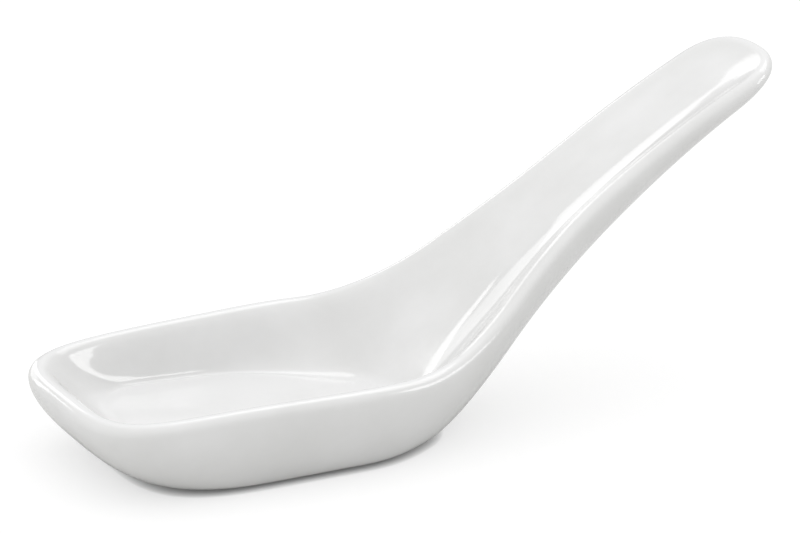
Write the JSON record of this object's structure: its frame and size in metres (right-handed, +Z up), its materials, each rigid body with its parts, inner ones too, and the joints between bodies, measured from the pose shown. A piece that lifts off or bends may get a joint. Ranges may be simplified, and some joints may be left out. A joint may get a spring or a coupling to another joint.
{
  "type": "tasting spoon",
  "caption": "White glazed porcelain tasting spoon with a squared bowl, rounded lip and flat foot, swept up into a channelled handle.",
  "frame": {"origin": "middle of the bare foot's resting face", "axes": "+X from the nose to the handle tip, +Z up, the spoon is symmetric across Y"},
  "size_m": [0.135, 0.0498, 0.0579],
  "materials": {
    "bare_porcelain": "unglazed, fine matt",
    "white_glaze": "clear gloss over white"
  },
  "bodies": {
    "root": {"porcelain_body": "bare_porcelain", "glaze_coat": "white_glaze"}
  },
  "joints": []
}
